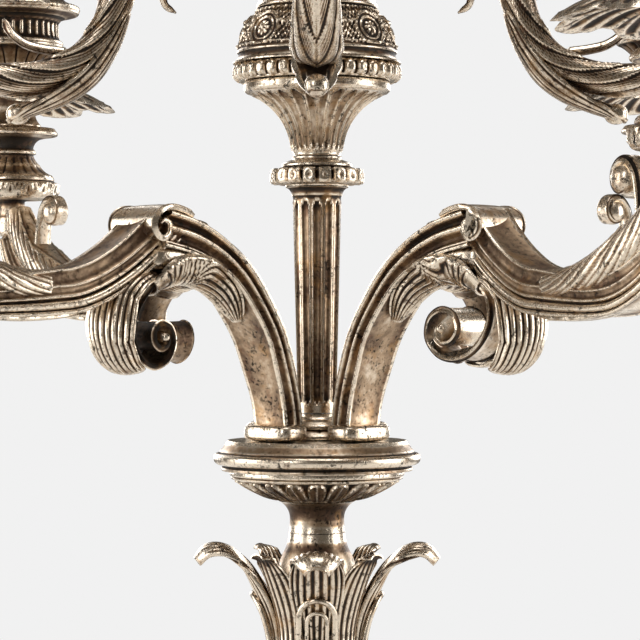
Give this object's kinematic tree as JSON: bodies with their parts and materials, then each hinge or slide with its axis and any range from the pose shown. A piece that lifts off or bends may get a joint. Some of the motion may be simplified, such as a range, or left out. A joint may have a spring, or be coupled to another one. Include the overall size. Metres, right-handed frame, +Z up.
{
  "type": "candelabrum",
  "caption": "Two-tier branched candelabrum: round foot, leaf calyx, fluted column, S-scroll arms with volutes, leaf drip pans and lift-off candle nozzles round a central light.",
  "frame": {"origin": "middle of the foot's underside, where it rests on the table", "axes": "+Z up along the stem; -Y towards the front upper arm, the upper arms lie along X and Y and the lower arms between them"},
  "size_m": [0.4316, 0.4369, 0.753],
  "materials": {
    "silver_plate": "worn silver plate over brass, polished high points and dark patina in the hollows",
    "dark_silver_plate": "tarnished silver plate over brass",
    "steel": "plain turned steel",
    "felt": "dark green felt"
  },
  "bodies": {
    "stand": {"base_felt": "felt", "foot_plinth": "silver_plate", "foot_dome": "silver_plate", "foot_collar": "silver_plate", "baluster": "silver_plate", "knop": "silver_plate", "leaf_calyx": "silver_plate", "neck": "silver_plate", "disc_underside": "silver_plate", "arm_disc": "silver_plate", "column_base": "silver_plate", "fluted_column": "silver_plate", "leaf_tip_ring": "silver_plate", "capital": "silver_plate", "bead_ring": "silver_plate", "urn": "silver_plate", "hub_cap": "silver_plate", "top_stem": "silver_plate", "calyx_stem": "dark_silver_plate", "hub": "dark_silver_plate", "tie_rod": "steel", "tie_rod_nut": "steel", "lower_arch_1": "silver_plate", "lower_branch_1": "silver_plate", "lower_nut_1": "steel", "upper_arm_1": "silver_plate", "upper_nut_1": "steel", "lower_arch_2": "silver_plate", "lower_branch_2": "silver_plate", "lower_nut_2": "steel", "upper_arm_2": "silver_plate", "upper_nut_2": "steel", "lower_arch_3": "silver_plate", "lower_branch_3": "silver_plate", "lower_nut_3": "steel", "upper_arm_3": "silver_plate", "upper_nut_3": "steel", "lower_arch_4": "silver_plate", "lower_branch_4": "silver_plate", "lower_nut_4": "steel", "upper_arm_4": "silver_plate", "upper_nut_4": "steel", "drip_pan_lower_1": "silver_plate", "drip_pan_lower_2": "silver_plate", "drip_pan_lower_3": "silver_plate", "drip_pan_lower_4": "silver_plate", "drip_pan_upper_1": "silver_plate", "drip_pan_upper_2": "silver_plate", "drip_pan_upper_3": "silver_plate", "drip_pan_upper_4": "silver_plate", "drip_pan_top": "silver_plate"},
    "candle_nozzle_lower_1": {"nozzle_lower_1": "silver_plate"},
    "candle_nozzle_lower_2": {"nozzle_lower_2": "silver_plate"},
    "candle_nozzle_lower_3": {"nozzle_lower_3": "silver_plate"},
    "candle_nozzle_lower_4": {"nozzle_lower_4": "silver_plate"},
    "candle_nozzle_upper_1": {"nozzle_upper_1": "silver_plate"},
    "candle_nozzle_upper_2": {"nozzle_upper_2": "silver_plate"},
    "candle_nozzle_upper_3": {"nozzle_upper_3": "silver_plate"},
    "candle_nozzle_upper_4": {"nozzle_upper_4": "silver_plate"},
    "candle_nozzle_top": {"nozzle_top": "silver_plate"}
  },
  "joints": [
    {"name": "nozzle_lower_1_lift", "type": "slide", "parent": "stand", "child": "candle_nozzle_lower_1", "axis": [0, 0, 1], "range_m": [0, 0.03]},
    {"name": "nozzle_lower_2_lift", "type": "slide", "parent": "stand", "child": "candle_nozzle_lower_2", "axis": [0, 0, 1], "range_m": [0, 0.03]},
    {"name": "nozzle_lower_3_lift", "type": "slide", "parent": "stand", "child": "candle_nozzle_lower_3", "axis": [0, 0, 1], "range_m": [0, 0.03]},
    {"name": "nozzle_lower_4_lift", "type": "slide", "parent": "stand", "child": "candle_nozzle_lower_4", "axis": [0, 0, 1], "range_m": [0, 0.03]},
    {"name": "nozzle_upper_1_lift", "type": "slide", "parent": "stand", "child": "candle_nozzle_upper_1", "axis": [0, 0, 1], "range_m": [0, 0.03]},
    {"name": "nozzle_upper_2_lift", "type": "slide", "parent": "stand", "child": "candle_nozzle_upper_2", "axis": [0, 0, 1], "range_m": [0, 0.03]},
    {"name": "nozzle_upper_3_lift", "type": "slide", "parent": "stand", "child": "candle_nozzle_upper_3", "axis": [0, 0, 1], "range_m": [0, 0.03]},
    {"name": "nozzle_upper_4_lift", "type": "slide", "parent": "stand", "child": "candle_nozzle_upper_4", "axis": [0, 0, 1], "range_m": [0, 0.03]},
    {"name": "nozzle_top_lift", "type": "slide", "parent": "stand", "child": "candle_nozzle_top", "axis": [0, 0, 1], "range_m": [0, 0.03]}
  ]
}
